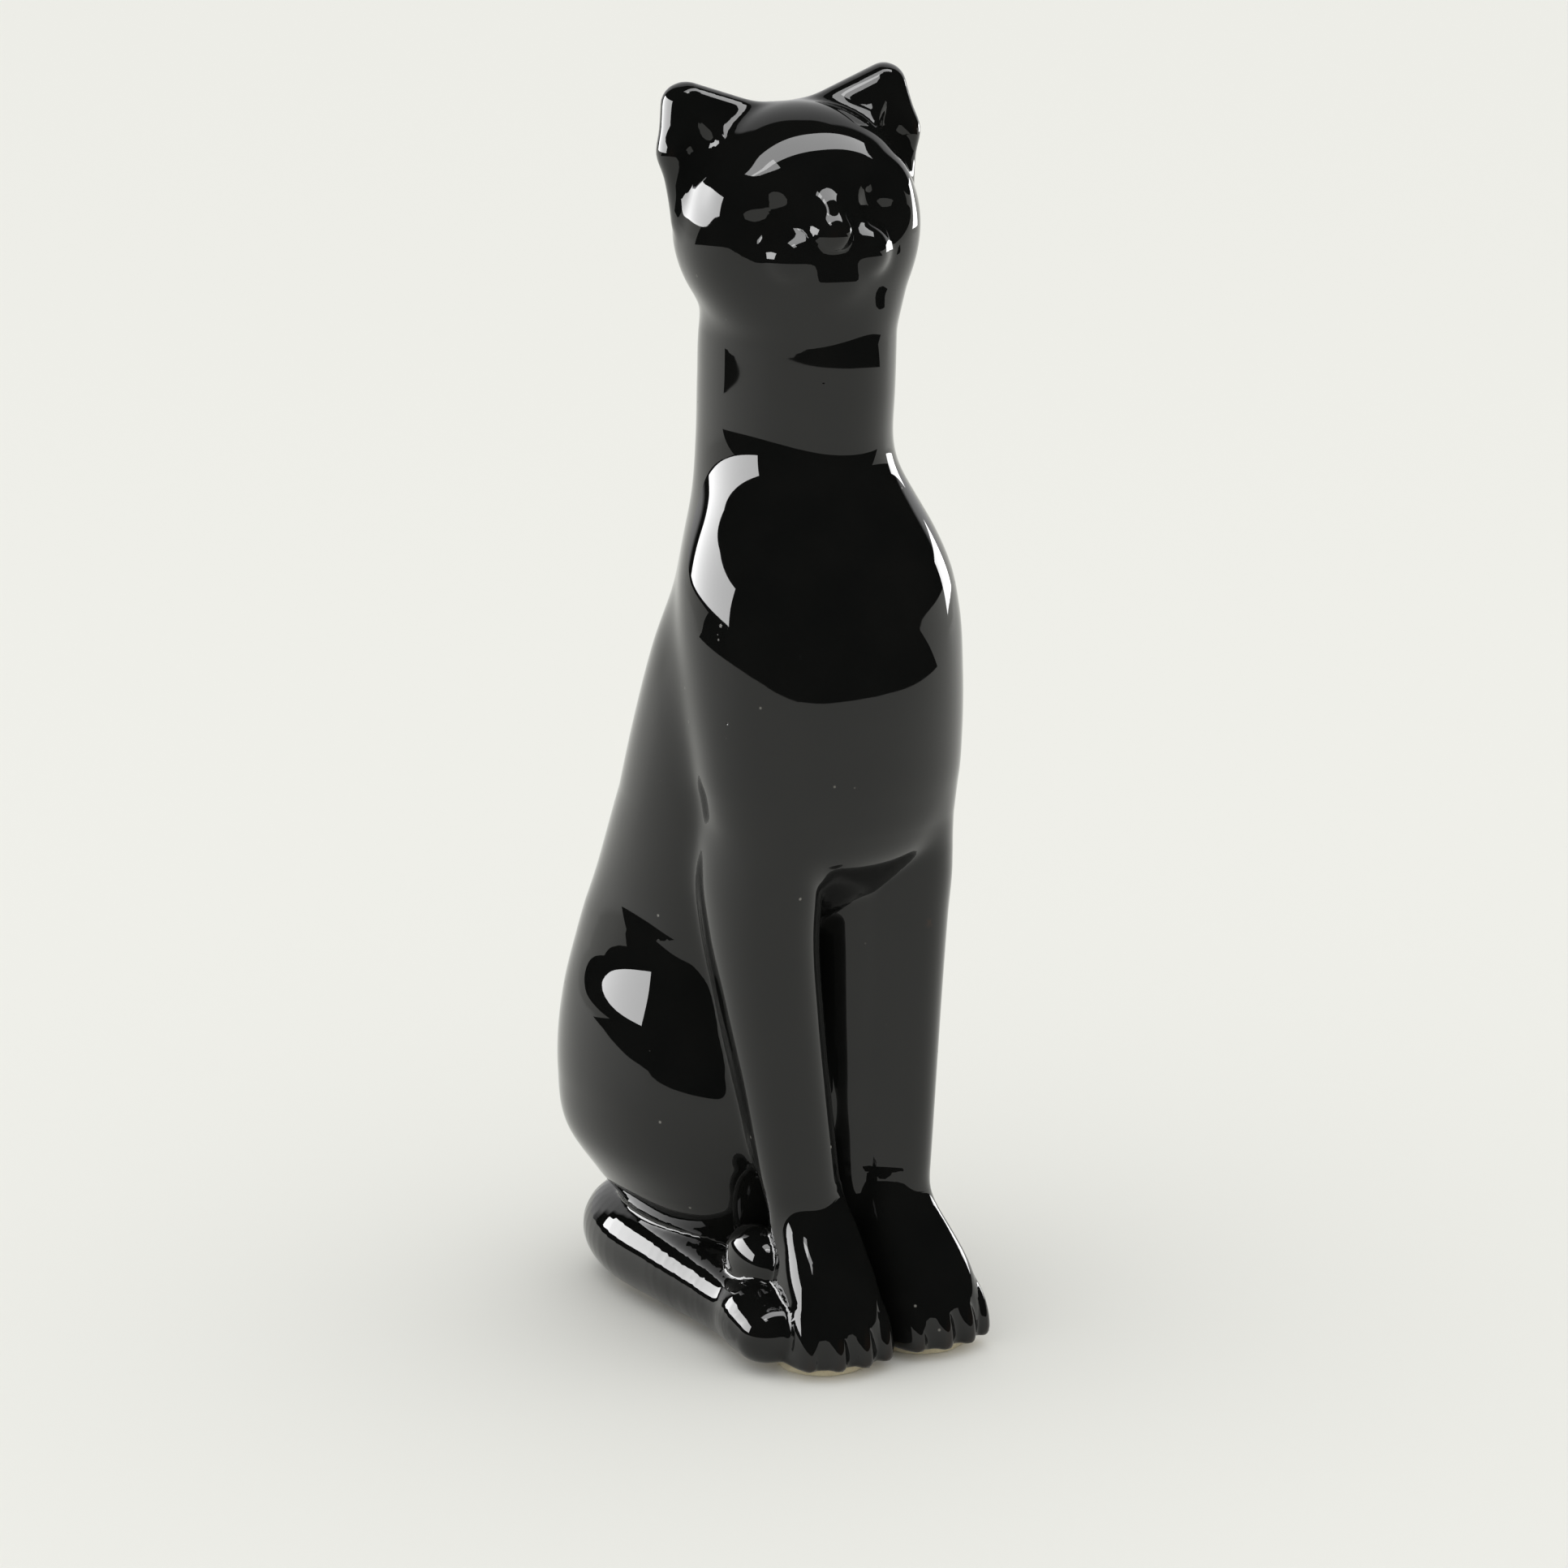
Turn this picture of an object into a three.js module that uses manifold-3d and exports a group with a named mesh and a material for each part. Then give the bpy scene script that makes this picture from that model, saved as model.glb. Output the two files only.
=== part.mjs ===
// A tall seated cat: one hollow glazed casting on four round felt pads.
// Millimetres, +Z up. The cat faces -Y, so its right side is -X. The tail lies along its right side.
// The origin is on the table, below the middle of the bounding box.
import * as THREE from "three";
import { mergeVertices } from "three/addons/utils/BufferGeometryUtils.js";
import Module from "manifold-3d";

const wasm = await Module();
wasm.setup();

// ---- Driving dimensions ----
const PAD = { radius: 9, thickness: 1.7, edge: 0.3, film: 0.2 };
const FRONT_PAD = { x: 11.5, y: -23 };
const REAR_PAD = { x: 11, y: 28 };
const BASE_Z = PAD.thickness + PAD.film; // the casting's flat underside
const WALL = 4;
const VENT = { radius: 6, y: 14 };
const SCALE_MARGIN = 20; // how far cutting solids reach past what they cut

// Trunk and neck from the base up: front and back of each level, and its half width.
const TRUNK = [
  { z: -8, front: -2, back: 46, half: 20 },
  { z: 10, front: -5, back: 50.5, half: 23 },
  { z: 22, front: -6.5, back: 55, half: 28.4 },
  { z: 38, front: -8, back: 60.4, half: 35 },
  { z: 58, front: -11, back: 60.6, half: 36 },
  { z: 78, front: -16, back: 56, half: 33 },
  { z: 98, front: -23, back: 49.6, half: 29.2 },
  { z: 118, front: -28.6, back: 42.4, half: 27.6 },
  { z: 136, front: -29.5, back: 34.6, half: 28 },
  { z: 152, front: -27, back: 28.6, half: 26.6 },
  { z: 166, front: -21.4, back: 27.4, half: 21.6 },
  { z: 178, front: -17, back: 27.2, half: 18 },
  { z: 192, front: -17, back: 26.4, half: 17.6 },
  { z: 212, front: -14, back: 23, half: 16.6 },
];
// One foreleg with its shoulder, on the cat's left; the other is its mirror image.
const FORELEG = [
  { z: -6, x: 10.4, front: -29, back: -9, half: 9 },
  { z: 12, x: 10.2, front: -27, back: -8, half: 8.6 },
  { z: 30, x: 9.9, front: -23.4, back: -6.4, half: 8 },
  { z: 46, x: 11, front: -22.8, back: -4, half: 9.2 },
  { z: 64, x: 12.6, front: -23.4, back: 0, half: 10.9 },
  { z: 84, x: 13.4, front: -24.8, back: 5, half: 12 },
  { z: 104, x: 13.6, front: -26.6, back: 10, half: 12.8 },
  { z: 126, x: 13.6, front: -27.6, back: 15, half: 13.8 },
  { z: 148, x: 12.4, front: -25.4, back: 17, half: 14.2 },
  { z: 168, x: 6, front: -15, back: 13, half: 9 },
];
const THIGH = { x: 17.5, y: 8, z: 44, width: 15, depth: 21, height: 30 };
const HIND_PAW = { x: 16.8, y: -7, z: 19, width: 6.8, depth: 10, height: 11 };
const PAW = { x: 11.1, y: -22, z: 9, width: 10.3, depth: 11.4, height: 17 };
const TOES = { count: 4, spread: 15, y: -27, z: 7, width: 3.7, depth: 8, height: 10, curve: 2.2 };
const TAIL_RADIUS = 9;
// The tail's centre line on the table, from its root behind the cat to its tip beside the right front paw.
const TAIL = [
  { x: 10, y: 42, size: 1 },
  { x: -3, y: 48.8, size: 1 },
  { x: -13.4, y: 46.5, size: 1 },
  { x: -18.4, y: 35, size: 1 },
  { x: -19.2, y: 18, size: 1 },
  { x: -19.4, y: 2, size: 0.93 },
  { x: -19.8, y: -9, size: 0.82 },
  { x: -20.4, y: -18, size: 0.84 },
  { x: -20.8, y: -28, size: 0.7 },
];
// The head is made facing -Y about its own centre, then turned and leaned.
const HEAD = { x: -1.2, y: 1.6, z: 219.8, turn: -17, lean: -2.5 };
const SKULL = [
  { z: -23, front: -11, back: 10, half: 9 },
  { z: -16, front: -16.8, back: 16, half: 16.4 },
  { z: -8, front: -18.6, back: 19.8, half: 21.6 },
  { z: 1, front: -18.6, back: 21.5, half: 24 },
  { z: 10, front: -16.8, back: 20, half: 22.6 },
  { z: 18, front: -12, back: 15.4, half: 17.4 },
  { z: 24, front: -5, back: 9, half: 9.4 },
];
const MUZZLE = { x: 3.8, y: -12.4, z: -6.4, width: 7, depth: 8.6, height: 7.4 };
const CHIN = { y: -10.4, z: -13.6, width: 8.6, depth: 8.6, height: 6 };
const NOSE = { y: -18.2, z: 0.4, width: 3.2, depth: 3.6, height: 3.2 };
const BRIDGE = { y: -10.6, z: 4.4, width: 5, depth: 9.8, height: 10 };
const BROW = { y: -6.2, z: 13, width: 16, depth: 9.4, height: 6.6 };
const EYE = { x: 11.6, y: -10, z: 6.6, width: 6, depth: 5.8, height: 4, tilt: 10 };
const EAR = [
  { z: -2, x: 13.6, y: 4, half: 9.4, depth: 8 },
  { z: 10, x: 14, y: 4.6, half: 12, depth: 6.8 },
  { z: 20, x: 15.6, y: 5.6, half: 11.2, depth: 5.4 },
  { z: 30, x: 19.6, y: 8, half: 6.4, depth: 3.6 },
];
const EAR_ROUNDING = 0.3;
const EAR_CUP = { x: 19, y: -2.6, z: 18, width: 6.4, depth: 5.6, height: 9.4, lean: 12 };

// ---- Solids ----
// A mesh geometry as a solid for joining and cutting.
function solid(geometry) {
  const bare = geometry.clone();
  bare.deleteAttribute("normal");
  bare.deleteAttribute("uv");
  const merged = mergeVertices(bare, 1e-4);
  const triVerts = new Uint32Array(merged.index.array);
  const vertProperties = merged.attributes.position.array;
  return new wasm.Manifold(new wasm.Mesh({ numProp: 3, vertProperties, triVerts }));
}

// A solid back as a geometry with flat normals.
function geometryOf(made) {
  const { numProp, numVert, vertProperties, triVerts } = made.getMesh();
  const positions = new Float32Array(numVert * 3);
  for (let i = 0; i < numVert; i++) {
    positions.set(vertProperties.subarray(i * numProp, i * numProp + 3), i * 3);
  }
  const indexed = new THREE.BufferGeometry();
  indexed.setAttribute("position", new THREE.BufferAttribute(positions, 3));
  indexed.setIndex(new THREE.BufferAttribute(triVerts, 1));
  const flat = indexed.toNonIndexed();
  flat.computeVertexNormals();
  return flat;
}

const joined = (solids) => solids.reduce((all, next) => all.add(next));

// An egg-shaped muscle: a sphere stretched to its half sizes, leaned about Y and set in place.
function muscle({ x = 0, y, z, width, depth, height, tilt = 0 }, { shrink = 0, around = 16, along = 10 } = {}) {
  const egg = new THREE.SphereGeometry(1, around, along).rotateX(Math.PI / 2);
  egg.scale(width - shrink, depth - shrink, height - shrink);
  egg.rotateY(THREE.MathUtils.degToRad(tilt));
  return egg.translate(x, y, z);
}

// A limb with rounded ends: a sphere whose rings are spread along a spine.
// ringAt(t) gives each ring's centre and its two half axes as vectors.
function limb(ringAt, around, along, roundEnd) {
  const skin = new THREE.SphereGeometry(1, around, along);
  const { position, uv } = skin.attributes;
  for (let i = 0; i < position.count; i++) {
    const level = (1 - Math.cos(Math.PI * (1 - uv.getY(i)))) / 2;
    const toEnd = Math.min(1, Math.min(level, 1 - level) / roundEnd);
    const fullness = Math.sqrt(Math.max(0, 1 - (1 - toEnd) ** 2));
    const angle = 2 * Math.PI * uv.getX(i);
    const { centre, across, deep } = ringAt(level);
    const point = centre.clone();
    point.addScaledVector(across, Math.cos(angle) * fullness);
    point.addScaledVector(deep, Math.sin(angle) * fullness);
    position.setXYZ(i, point.x, point.y, point.z);
  }
  return skin;
}

// A standing limb from its levels: each ring is level, with the given front, back and half width.
function column(levels, { side = 1, shrink = 0, around = 20, along = 20, roundEnd = 0.06 } = {}) {
  const spine = levels.map(({ x = 0, front, back, z }) => new THREE.Vector3(x * side, (front + back) / 2, z));
  const sizes = levels.map(({ front, back, half }) => new THREE.Vector3(half, (back - front) / 2, 0));
  const centres = new THREE.CatmullRomCurve3(spine);
  const halves = new THREE.CatmullRomCurve3(sizes);
  const ringAt = (t) => {
    const half = halves.getPoint(1 - t);
    return {
      centre: centres.getPoint(1 - t),
      across: new THREE.Vector3(half.x - shrink, 0, 0),
      deep: new THREE.Vector3(0, half.y - shrink, 0),
    };
  };
  return limb(ringAt, around, along, roundEnd);
}

// ---- Sub-parts ----
function tail() {
  const line = new THREE.CatmullRomCurve3(
    TAIL.map(({ x, y, size }) => new THREE.Vector3(x, y, BASE_Z + TAIL_RADIUS * (size - 0.12))),
  );
  const sizes = new THREE.CatmullRomCurve3(TAIL.map(({ size }, i) => new THREE.Vector3(size, i, 0)));
  const ringAt = (t) => {
    const radius = TAIL_RADIUS * sizes.getPoint(1 - t).x;
    const along = line.getTangent(1 - t);
    const across = new THREE.Vector3(-along.y, along.x, 0).setLength(radius);
    return { centre: line.getPoint(1 - t), across, deep: new THREE.Vector3(0, 0, radius) };
  };
  return limb(ringAt, 16, 32, 0.09);
}

function toes(side) {
  const gap = TOES.spread / (TOES.count - 1);
  return Array.from({ length: TOES.count }, (_, i) => {
    const fromMiddle = i - (TOES.count - 1) / 2;
    const back = TOES.curve * (Math.abs(fromMiddle) - 0.5);
    const place = { x: side * PAW.x + fromMiddle * gap, y: TOES.y + back };
    return solid(muscle({ ...TOES, ...place }, { around: 12, along: 8 }));
  });
}

function foreleg(side) {
  const upper = solid(column(FORELEG, { side }));
  const paw = solid(muscle({ ...PAW, x: side * PAW.x }));
  return joined([upper, paw, ...toes(side)]);
}

function hindLeg(side) {
  return joined([THIGH, HIND_PAW].map((part) => solid(muscle({ ...part, x: side * part.x }))));
}

// The head's own solids, facing -Y about its centre.
function face() {
  const pair = (part) => [-1, 1].map((side) => solid(muscle({ ...part, x: side * part.x, tilt: side * (part.tilt ?? 0) })));
  const small = (part) => solid(muscle(part));
  const skull = solid(column(SKULL, { around: 28, along: 20, roundEnd: 0.14 }));
  const single = [BROW, BRIDGE, NOSE, CHIN].map(small);
  return joined([skull, ...pair(MUZZLE), ...pair(EYE), ...single]);
}

function ear(side) {
  const levels = EAR.map(({ z, x, y, half, depth }) => ({ z, x, half, front: y - depth, back: y + depth }));
  const flap = solid(column(levels, { side, around: 18, along: 14, roundEnd: EAR_ROUNDING }));
  const cup = solid(muscle({ ...EAR_CUP, x: side * EAR_CUP.x, tilt: side * EAR_CUP.lean }));
  return flap.subtract(cup);
}

function placedHead(made) {
  const turned = geometryOf(made);
  turned.rotateY(THREE.MathUtils.degToRad(HEAD.lean));
  turned.rotateZ(THREE.MathUtils.degToRad(HEAD.turn));
  return solid(turned.translate(HEAD.x, HEAD.y, HEAD.z));
}

// The hollow left by the slip, and the vent that opens it under the base.
function hollow() {
  const inTrunk = solid(column(TRUNK, { shrink: WALL, around: 16, along: 14 }));
  const inHead = placedHead(solid(column(SKULL, { shrink: WALL, around: 16, along: 10 })));
  const floor = new THREE.BoxGeometry(200, 200, SCALE_MARGIN);
  floor.translate(0, 0, BASE_Z + WALL - SCALE_MARGIN / 2);
  const vent = new THREE.CylinderGeometry(VENT.radius, VENT.radius, SCALE_MARGIN, 32).rotateX(Math.PI / 2);
  vent.translate(0, VENT.y, BASE_Z + SCALE_MARGIN / 4);
  return joined([inTrunk, inHead]).subtract(solid(floor)).add(solid(vent));
}

function ceramicBody() {
  const trunk = solid(column(TRUNK, { around: 32, along: 30 }));
  const legs = [-1, 1].flatMap((side) => [foreleg(side), hindLeg(side)]);
  const head = placedHead(joined([face(), ear(-1), ear(1)]));
  const below = new THREE.BoxGeometry(200, 200, 40).translate(0, 0, BASE_Z - 20);
  const whole = joined([trunk, ...legs, solid(tail()), head]);
  return geometryOf(whole.subtract(solid(below)).subtract(hollow()));
}

// A round felt pad with softened edges.
function feltPad({ x, y }) {
  const { radius, thickness, edge } = PAD;
  const outline = [
    [0, 0],
    [radius - edge, 0],
    [radius, edge],
    [radius, thickness - edge],
    [radius - edge, thickness],
    [0, thickness],
  ].map(([r, z]) => new THREE.Vector2(r, z));
  return new THREE.LatheGeometry(outline, 48).rotateX(Math.PI / 2).translate(x, y, 0);
}

// ---- The figure ----
const glaze = new THREE.MeshStandardMaterial({ color: 0x0b0b0c, roughness: 0.06, metalness: 0 });
const felt = new THREE.MeshStandardMaterial({ color: 0xd9cfa8, roughness: 0.95, metalness: 0 });

function named(name, geometry, material) {
  const mesh = new THREE.Mesh(geometry, material.clone());
  mesh.name = name;
  return mesh;
}

const pads = {
  felt_pad_front_left: { x: FRONT_PAD.x, y: FRONT_PAD.y },
  felt_pad_front_right: { x: -FRONT_PAD.x, y: FRONT_PAD.y },
  felt_pad_rear_left: { x: REAR_PAD.x, y: REAR_PAD.y },
  felt_pad_rear_right: { x: -REAR_PAD.x, y: REAR_PAD.y },
};

const cat = new THREE.Group();
cat.add(named("ceramic_body", ceramicBody(), glaze));
for (const [name, place] of Object.entries(pads)) cat.add(named(name, feltPad(place), felt));

const box = new THREE.Box3().setFromObject(cat, true);
cat.position.set(-(box.min.x + box.max.x) / 2, -(box.min.y + box.max.y) / 2, -box.min.z);

const figure = new THREE.Group();
figure.add(cat);
export default figure;
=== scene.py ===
"""A tall seated black cat in glazed ceramic, standing on cream felt pads.

The casting is sculpted as a smooth field of muscles in millimetres and then meshed.
The frame gives where it stands.
"""
import math

import bmesh
import bpy
import numpy as np
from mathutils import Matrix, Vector


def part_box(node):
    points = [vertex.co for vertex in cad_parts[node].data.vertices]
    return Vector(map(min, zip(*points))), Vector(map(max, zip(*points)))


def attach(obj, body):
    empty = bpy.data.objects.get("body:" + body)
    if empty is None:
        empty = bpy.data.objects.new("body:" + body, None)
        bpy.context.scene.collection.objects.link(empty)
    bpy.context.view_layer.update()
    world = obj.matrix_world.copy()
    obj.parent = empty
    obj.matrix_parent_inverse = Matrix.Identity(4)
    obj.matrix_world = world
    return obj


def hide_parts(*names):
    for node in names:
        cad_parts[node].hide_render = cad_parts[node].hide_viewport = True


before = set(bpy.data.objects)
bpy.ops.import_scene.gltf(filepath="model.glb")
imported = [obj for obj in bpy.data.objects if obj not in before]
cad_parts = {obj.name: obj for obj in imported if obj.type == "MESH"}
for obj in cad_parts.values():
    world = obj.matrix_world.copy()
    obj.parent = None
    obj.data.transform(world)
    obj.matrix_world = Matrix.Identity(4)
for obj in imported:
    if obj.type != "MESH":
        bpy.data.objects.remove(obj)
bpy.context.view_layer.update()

MM = 0.001
CELL = 0.92  # mesh size of the casting, mm

# ---- Places taken from the frame ----
PAD_LOW, PAD_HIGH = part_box("felt_pad_front_left")
PAD_SKETCH = (11.5, -23.0)  # the left front pad's centre in the sculpt's own millimetres
SHIFT = np.array([
    (PAD_LOW[0] + PAD_HIGH[0]) / 2 / MM - PAD_SKETCH[0],
    (PAD_LOW[1] + PAD_HIGH[1]) / 2 / MM - PAD_SKETCH[1],
    0.0,
])
BASE_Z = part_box("ceramic_body")[0][2] / MM  # the casting's flat underside

# ---- The sculpt's dimensions, mm. The cat faces -Y, +X is its left ----
# Back, haunches and neck: level, front, back, half width.
BACK = [
    (-8, -2, 46, 20),
    (8, -4, 50, 20.5),
    (18, -5.5, 53, 22.8),
    (26, -6, 56.5, 28.6),
    (35, -7.6, 60, 34.4),
    (46, -11, 61.6, 36.2),
    (55, -9.8, 61.4, 35.8),
    (63, -7.4, 60, 34.6),
    (74, -4.6, 57.8, 31.4),
    (87, -6, 53.8, 28.7),
    (101, -11.4, 49, 28.1),
    (118, -15.5, 42.6, 27.4),
    (136, -16.4, 35, 25.6),
    (152, -16.4, 28.6, 22),
    (166, -16.4, 27.6, 18.8),
    (178, -16.8, 27.5, 17.6),
    (190, -17.8, 27, 17.6),
    (200, -18, 26, 17.7),
    (209, -17.1, 22, 18),
    (220, -9, 12, 8),
]
# How square the sections are: level and power of the superellipse.
SQUARENESS = [(60, 2.08), (80, 2.14), (92, 2.04), (106, 1.9), (140, 2.0)]
# Chest and shoulders.
CHEST = [
    (85, -8, -6, 3),
    (91, -15, -2, 9),
    (96, -20.4, 2, 17),
    (101, -25, 6, 22),
    (106, -27.4, 10, 24.8),
    (113, -28.8, 13, 26.6),
    (122, -29.3, 15, 27.6),
    (134, -29.4, 18, 28.2),
    (146, -28.2, 20, 28.2),
    (154, -26.6, 21, 27),
    (161, -24, 21, 24.4),
    (168, -20.2, 19, 20.6),
    (176, -15, 16, 15.4),
    (186, -8, 11, 9),
    (192, -3, 8, 4),
]
# One foreleg: level, front, back, half width, distance from the middle.
FORELEG = [
    (-6, -23.4, -9, 7.3, 10.2),
    (14, -22.2, -8.6, 7.3, 10),
    (26, -22, -8, 7.3, 10),
    (37, -21.6, -4.6, 7.9, 11),
    (53, -20.6, -0.7, 8.8, 12.5),
    (69, -20, 3.5, 9.6, 13.9),
    (84, -20.2, 7.3, 10.2, 15),
    (95, -21.4, 9, 10.6, 15.2),
    (105, -21.8, 9, 10.2, 14.6),
    (114, -19, 8, 8, 13.6),
    (123, -12, 4, 5, 12),
    (130, -7, 0, 3, 11),
]
# The web that closes the gap between the forelegs, on the left leg's side of the groove.
WEB = [
    (12, -12, 6, 4, 1.4),
    (24, -15, 6, 4.6, 1.8),
    (45, -15.4, 6, 5.6, 3),
    (62, -15, 8, 6.8, 4),
    (84, -14.6, 10, 7.8, 5),
    (98, -14, 10, 8, 5),
    (108, -9, 6, 5, 4),
]
TAIL_RADIUS = 9.0
# The tail's centre line on the table and its size.
TAIL = [
    (10, 42, 1.0),
    (-3, 48.8, 1.0),
    (-13.4, 46.5, 1.0),
    (-18.4, 35, 1.0),
    (-19.2, 18, 0.98),
    (-19.4, 4, 0.9),
    (-20.2, -8, 0.82),
    (-21.6, -15, 0.84),
    (-22.8, -20.6, 0.74),
]
HEAD_CENTRE = np.array([-1.2, 1.6, 219.8])
HEAD_TURN, HEAD_LEAN = math.radians(-13.5), math.radians(-2.5)
# One paw: level, front, back, half width, distance from the middle.
PAW = [
    (-6, -33, -12, 10.6, 10.9),
    (3, -34.8, -11, 10.9, 10.9),
    (7, -35, -10, 10.8, 10.9),
    (12, -34, -10, 10.2, 10.8),
    (17, -31.8, -10, 9.5, 10.6),
    (22, -28, -10, 8.5, 10.4),
    (27, -23.4, -11, 7.4, 10.1),
    (33, -19, -13, 4.6, 10),
]
# Toes across a paw: place from its middle, front, and half width.
TOES = [(-8, -34.2, 2.9), (-2.8, -36.4, 2.9), (2.8, -36.6, 2.9), (8, -34.8, 2.9)]
PAW_MIDDLE = (10.7, -22)  # what the left paw turns about
PAW_POWER = 3.0  # how square a paw's sections are
PAW_TURN = 7.0  # degrees that each paw's front turns outwards
TOE_LENGTH, TOE_HEIGHT, TOE_LEVEL, TOE_TILT = 7, 9.6, 5, -14
# Eggs, as centre and radii. Each one off the middle is for the left side and is mirrored.
HIND_PAW = ((17.4, -8.6, 17.8), (5.6, 9, 7.2))
HIND_SOLE = ((15, -5, 8), (7, 10, 8))
SKULL, SKULL_POWER = ((0, 1.5, 0.8), (23.7, 19.8, 23.7)), 2.3
JAW = ((0, -5, -10.5), (15.5, 13.8, 12.2))
MUZZLE = ((0, -11.6, -6), (8.2, 10.2, 8.8))
SOCKET = ((14, -20.5, 7), (8.0, 8.0, 7.5))
EYE = ((13.2, -8.9, 7.8), (6.4, 4.4, 6.2))
WHISKER_PAD = ((6, -13.2, -2.2), (7, 8, 6.4))
BRIDGE = ((0, -11.2, 4.4), (5, 9.6, 7.6))
NOSE = ((0, -16.8, 2.4), (4.6, 5.8, 4.6))
EAR_CUP = ((20.6, -5.4, 15.6), (5.2, 6, 9.6))
# The left ear's corners.
EAR_TIP, EAR_OUTER, EAR_LOW = (20.4, 5.6, 25.1), (21.9, 3.8, 16.6), (20.2, 3, 4)
EAR_CROWN, EAR_FRONT = (3, 7, 18), (14.6, -1.4, 18.2)
FIN_TIP, FIN_CROWN = (19, 3.4, 27), (4, 5, 21)
BASE_EDGE = 3  # how wide the glaze rounds the edge of the underside
# The vent hole in the underside: its front and back, its half width and how far up it goes.
VENT_FRONT, VENT_BACK, VENT_HALF, VENT_TOP = 8, 20, 6, 12
# Corners of the space that each part of the sculpt lies in.
PAWS_BOX = ((-30, -44, -8), (30, -4, 36))
LEGS_BOX = ((-30, -44, -8), (30, 16, 132))
EAR_BOX = ((-30, -14, -4), (30, 16, 34))
HEAD_BOX = ((-34, -34, -34), (34, 34, 34))
CAT_BOX = ((-42, -46, BASE_Z - 2), (42, 66, 256))
EMPTY = 60.0  # the distance where nothing is near


# ---- Field kit: every shape returns a signed distance, near enough, for an array of points ----
def spline(levels, column):
    """A smooth curve through one column of a table of levels, as a function of the level."""
    table = np.array(levels, dtype=float)
    z, v = table[:, 0], table[:, column]
    slope = np.gradient(v, z)

    def at(level):
        level = np.clip(level, z[0], z[-1])
        i = np.clip(np.searchsorted(z, level) - 1, 0, len(z) - 2)
        h = z[i + 1] - z[i]
        t = (level - z[i]) / h
        return (
            (1 + 2 * t) * (1 - t) ** 2 * v[i]
            + t * (1 - t) ** 2 * h * slope[i]
            + t * t * (3 - 2 * t) * v[i + 1]
            - t * t * (1 - t) * h * slope[i + 1]
        )

    return at


def column_shape(levels, side=1, power=2.0, turn=0.0, pivot=(0, 0)):
    """A standing limb with elliptic level sections, squarer with a higher power, turned about a pivot."""
    spin = turned((0, 0, turn))[:2, :2]
    pivot = np.array(pivot, float)
    squareness = power if callable(power) else lambda z: power
    front, back, half = (spline(levels, k) for k in (1, 2, 3))
    shift = spline(levels, 4) if len(levels[0]) > 4 else None
    low, high = levels[0][0], levels[-1][0]
    reach = max(row[3] + (row[4] if len(row) > 4 else 0) for row in levels)
    box = ((-reach, min(r[1] for r in levels), low), (reach, max(r[2] for r in levels), high))

    def shape(p):
        z = p[:, 2]
        f, b, w = front(z), back(z), half(z)
        flat = (p[:, :2] - pivot) @ spin + pivot
        x = flat[:, 0] - (side * shift(z) if shift else 0)
        y = flat[:, 1] - (f + b) / 2
        n = squareness(z)
        ratio = (np.abs(x / w) ** n + np.abs(y / ((b - f) / 2)) ** n) ** (1 / n) + 1e-6
        sideways = (ratio - 1) * np.sqrt(x * x + y * y) / ratio
        return np.maximum(sideways, np.maximum(low - z, z - high))

    return shape, box


def turned(angles):
    """A rotation matrix from angles about X, Y and Z in degrees."""
    a, b, c = (math.radians(v) for v in angles)
    rx = np.array([[1, 0, 0], [0, math.cos(a), -math.sin(a)], [0, math.sin(a), math.cos(a)]])
    ry = np.array([[math.cos(b), 0, math.sin(b)], [0, 1, 0], [-math.sin(b), 0, math.cos(b)]])
    rz = np.array([[math.cos(c), -math.sin(c), 0], [math.sin(c), math.cos(c), 0], [0, 0, 1]])
    return rz @ ry @ rx


def egg(centre, radii, turn=(0, 0, 0)):
    """An ellipsoid."""
    centre, radii = np.array(centre, float), np.array(radii, float)
    spin = turned(turn)
    reach = np.sqrt(((spin * radii) ** 2).sum(axis=1))
    box = (centre - reach, centre + reach)

    def shape(p):
        q = (p - centre) @ spin
        k0 = np.sqrt(((q / radii) ** 2).sum(axis=1)) + 1e-9
        k1 = np.sqrt(((q / radii**2) ** 2).sum(axis=1)) + 1e-9
        return k0 * (k0 - 1) / k1

    return shape, box


def boxy_egg(centre, radii, power):
    """An egg whose level sections are superellipses."""
    centre, radii = np.array(centre, float), np.array(radii, float)

    def shape(p):
        q = np.abs((p - centre) / radii)
        around = (q[:, 0] ** power + q[:, 1] ** power) ** (1 / power)
        ratio = np.sqrt(around**2 + q[:, 2] ** 2) + 1e-6
        steep = np.sqrt(((q / radii) ** 2).sum(axis=1)) + 1e-9
        return (ratio - 1) * ratio / steep

    return shape, (centre - radii, centre + radii)


def curve_through(points, count):
    """Points along a smooth curve through the given ones, at even steps of its parameter."""
    pts = np.array(points, float)
    pts = np.vstack([2 * pts[0] - pts[1], pts, 2 * pts[-1] - pts[-2]])
    u = np.linspace(0, len(points) - 1 - 1e-6, count)
    i = u.astype(int)
    t = (u - i)[:, None]
    a, b, c, d = pts[i], pts[i + 1], pts[i + 2], pts[i + 3]
    return 0.5 * (2 * b + (c - a) * t + (2 * a - 5 * b + 4 * c - d) * t**2 + (3 * b - a - 3 * c + d) * t**3)


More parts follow.
